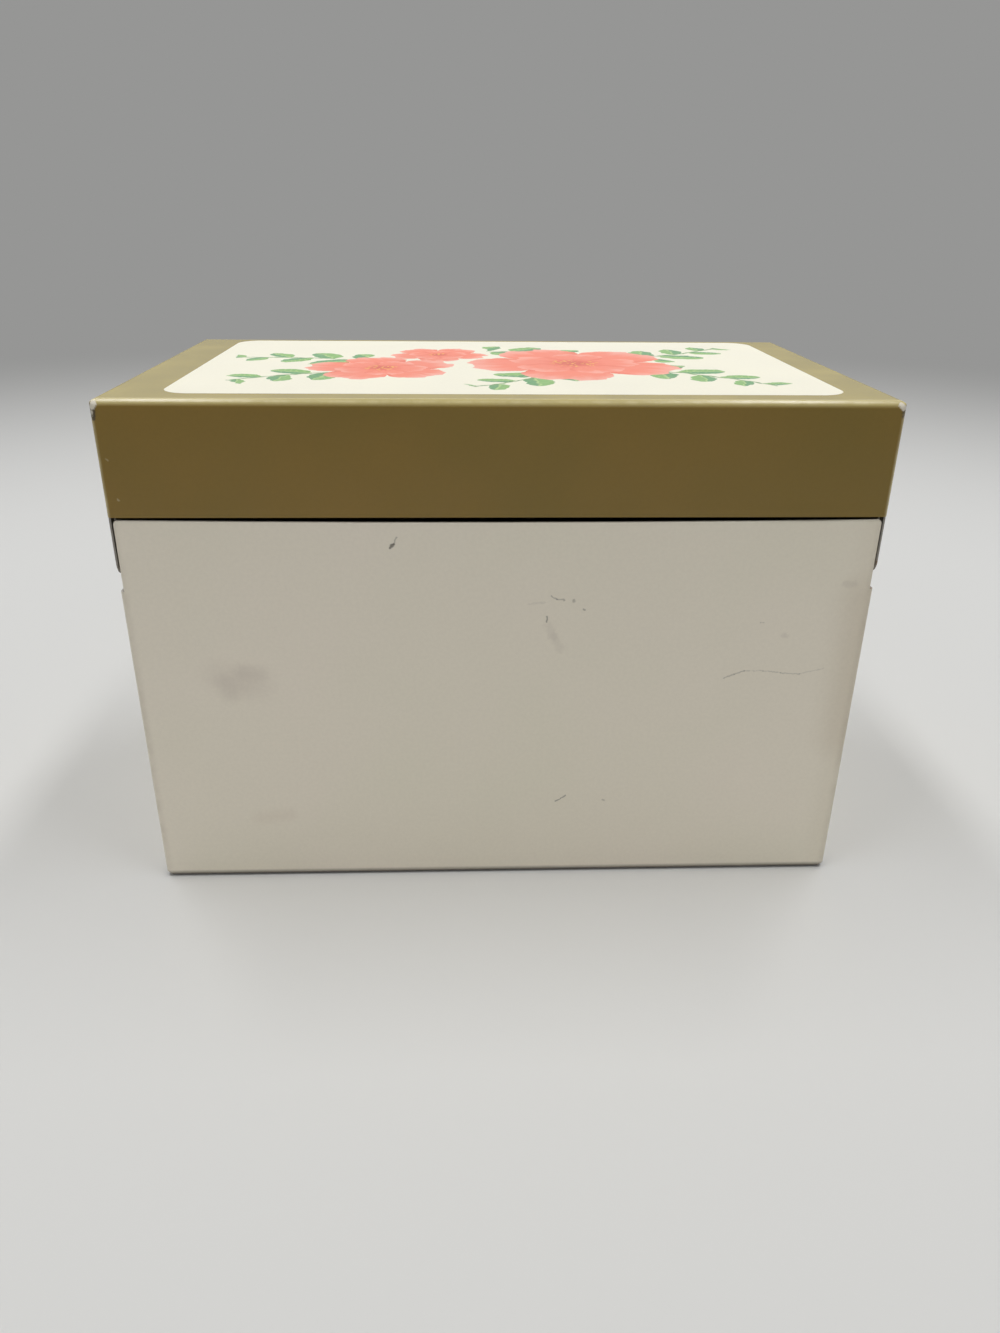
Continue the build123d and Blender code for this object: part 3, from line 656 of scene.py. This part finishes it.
def dress_box():
    """Puts the finishes on every node. The body's folds are tinted darker, with painted shade round
    its foot, and the lid's carry a painted highlight.
    """
    tinplate, cut, rivet = bare_tinplate(), sheared_edge(), plated_rivet()
    cream = stoved_enamel("cream_stoved_enamel", CREAM, CREAM_DEEP,
                          (BODY_X, BODY_Y, BODY_BOTTOM, -1), DARKER_FOLDS_SHADED_FOOT,
                          marks=on_wall(REAR_WALL_MARKS, BODY_Y)
                          + on_wall(FRONT_WALL_MARKS, -BODY_Y)
                          + on_end(END_MARKS, PANEL_HIGH.x / MM)
                          + on_end(END_MARKS, -PANEL_HIGH.x / MM))
    olive = stoved_enamel("olive_stoved_enamel", OLIVE, OLIVE_DEEP,
                          (LID_X, LID_Y, LID_TOP, 1), PAINTED_FOLD_HIGHLIGHT,
                          printed=floral_panel,
                          marks=on_wall(REAR_SKIRT_MARKS, LID_Y)
                          + on_wall(FRONT_SKIRT_MARKS, -LID_Y))
    body_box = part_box("body_wrap")
    panel_box = (Vector((-PANEL_HIGH.x, PANEL_LOW.y, PANEL_LOW.z)), PANEL_HIGH)

    dress_sheet("body_wrap", cream, tinplate, cut, body_box, 1,
                lambda p: p.z > BODY_TOP - WALL_HEM - HEM_SAG and BODY_Y - abs(p.y) < HEM_SKIN)
    for side in ("right", "left"):
        dress_sheet(f"{side}_end_panel", cream, tinplate, cut, panel_box, 1,
                    lambda p: p.z > PANEL_HIGH.z / MM - NECK_HEM + HAIR)
    dress_sheet("lid", olive, tinplate, cut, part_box("lid"), -1,
                lambda p: LID_Y + p.y < HEM_SKIN and p.z < SKIRT_EDGE + WALL_HEM
                and abs(p.x) < LID_X - HEM_END)
    for side in ("right", "left"):
        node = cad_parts[f"{side}_hinge_rivet"]
        node.data.materials.clear()
        node.data.materials.append(rivet)


# Studio, in metres

FLOOR_RADIUS = 3.0
FLOOR_GREY, HORIZON_GREY = "#E1E1DF", "#969695"
FADE_START, FADE_END = 0.22, 0.84       # where the floor passes into the backdrop's grey
LAMP_SPREAD, LAMP_HEIGHT = 0.40, 1.2    # two strip lights, left and right above the box
LAMP_FORWARD = 0.06                     # and a little in front of it
LAMP_SIZE = (0.16, 1.0)
LAMP_POWER = 5.05       # watts, of each
AMBIENT = 0.33          # light from all round
CEILING = 2.4           # how bright the white ceiling is in reflections
CEILING_EDGE = (0.05, 0.75)     # sine of the height where it begins, and where it is full


def studio_floor():
    """A plain pale floor that passes into the grey of the background."""
    mesh = bpy.data.meshes.new("studio_floor")
    disc = bmesh.new()
    bmesh.ops.create_circle(disc, cap_ends=True, segments=96, radius=FLOOR_RADIUS)
    disc.to_mesh(mesh)
    disc.free()
    floor = bpy.data.objects.new("studio_floor", mesh)
    bpy.context.scene.collection.objects.link(floor)

    material, tree, place = new_material("matt_studio_paper")
    distance = add(tree, "ShaderNodeVectorMath", {0: place, "Scale": MM}, operation="SCALE")
    distance = add(tree, "ShaderNodeVectorMath", {0: distance}, out="Value", operation="LENGTH")
    fade = between(tree, distance, 0, 1, FADE_START, FADE_END)
    paper = add(tree, "ShaderNodeBsdfPrincipled",
                {"Base Color": linear(FLOOR_GREY), "Roughness": 0.9})
    horizon = add(tree, "ShaderNodeEmission", {"Color": linear(HORIZON_GREY), "Strength": 1.0})
    surface = add(tree, "ShaderNodeMixShader", {0: fade, 1: paper, 2: horizon})
    add(tree, "ShaderNodeOutputMaterial", {"Surface": surface}, out=None)
    mesh.materials.append(material)


def studio_world():
    """Even light from all round. The camera and reflections see the background's grey, and
    reflections also the white ceiling above it."""
    world = bpy.data.worlds.new("studio")
    bpy.context.scene.world = world
    world.use_nodes = True
    tree = world.node_tree
    tree.nodes.clear()
    rays = add(tree, "ShaderNodeLightPath", out=None).outputs
    seen = add(tree, "ShaderNodeMath",
               {0: rays["Is Camera Ray"], 1: rays["Is Transmission Ray"]}, operation="MAXIMUM")
    direction = add(tree, "ShaderNodeTexCoord", out="Generated")
    height = add(tree, "ShaderNodeSeparateXYZ", {0: direction}, out="Z")
    ceiling = tint(tree, linear(HORIZON_GREY), [CEILING] * 3 + [1],
                   between(tree, height, 0, 1, *CEILING_EDGE))
    light = add(tree, "ShaderNodeBackground", {"Color": (1, 1, 1, 1), "Strength": AMBIENT})
    backdrop = add(tree, "ShaderNodeBackground",
                   {"Color": linear(HORIZON_GREY), "Strength": 1.0})
    reflected = add(tree, "ShaderNodeBackground", {"Color": ceiling, "Strength": 1.0})
    surface = add(tree, "ShaderNodeMixShader", {0: rays["Is Glossy Ray"], 1: light, 2: reflected})
    surface = add(tree, "ShaderNodeMixShader", {0: seen, 1: surface, 2: backdrop})
    add(tree, "ShaderNodeOutputWorld", {"Surface": surface}, out=None)


def studio_lamps():
    """Two long strip lights above the box, to its left and right."""
    for side in (-1, 1):
        lamp = bpy.data.lights.new("strip_light", "AREA")
        lamp.shape = "RECTANGLE"
        lamp.size, lamp.size_y = LAMP_SIZE
        lamp.energy = LAMP_POWER
        holder = bpy.data.objects.new("strip_light", lamp)
        holder.location = (side * LAMP_SPREAD, -LAMP_FORWARD, LAMP_HEIGHT)
        bpy.context.scene.collection.objects.link(holder)


# The camera looks at the rear of the box, from above
IMAGE_SIZE = (1000, 1333)
FOCAL_PIXELS = 977.5
CAMERA_AT = Vector((6.82, 206.12, 125.74)) * MM
YAW, PITCH, ROLL = (math.radians(angle) for angle in (2.270, 25.227, 0.579))


def studio_camera():
    """The camera, with its focal length for the image's longer side."""
    data = bpy.data.cameras.new("camera")
    data.sensor_width = 36.0
    data.lens = data.sensor_width * FOCAL_PIXELS / max(IMAGE_SIZE)
    data.clip_start = 0.01
    camera = bpy.data.objects.new("camera", data)
    turn = (Matrix.Rotation(math.pi - YAW, 4, "Z") @ Matrix.Rotation(math.pi / 2 - PITCH, 4, "X")
            @ Matrix.Rotation(ROLL, 4, "Z"))
    camera.matrix_world = Matrix.Translation(CAMERA_AT) @ turn
    bpy.context.scene.collection.objects.link(camera)
    bpy.context.scene.camera = camera


dress_box()
studio_floor()
studio_world()
studio_lamps()
studio_camera()
bpy.context.scene.view_settings.view_transform = "Standard"
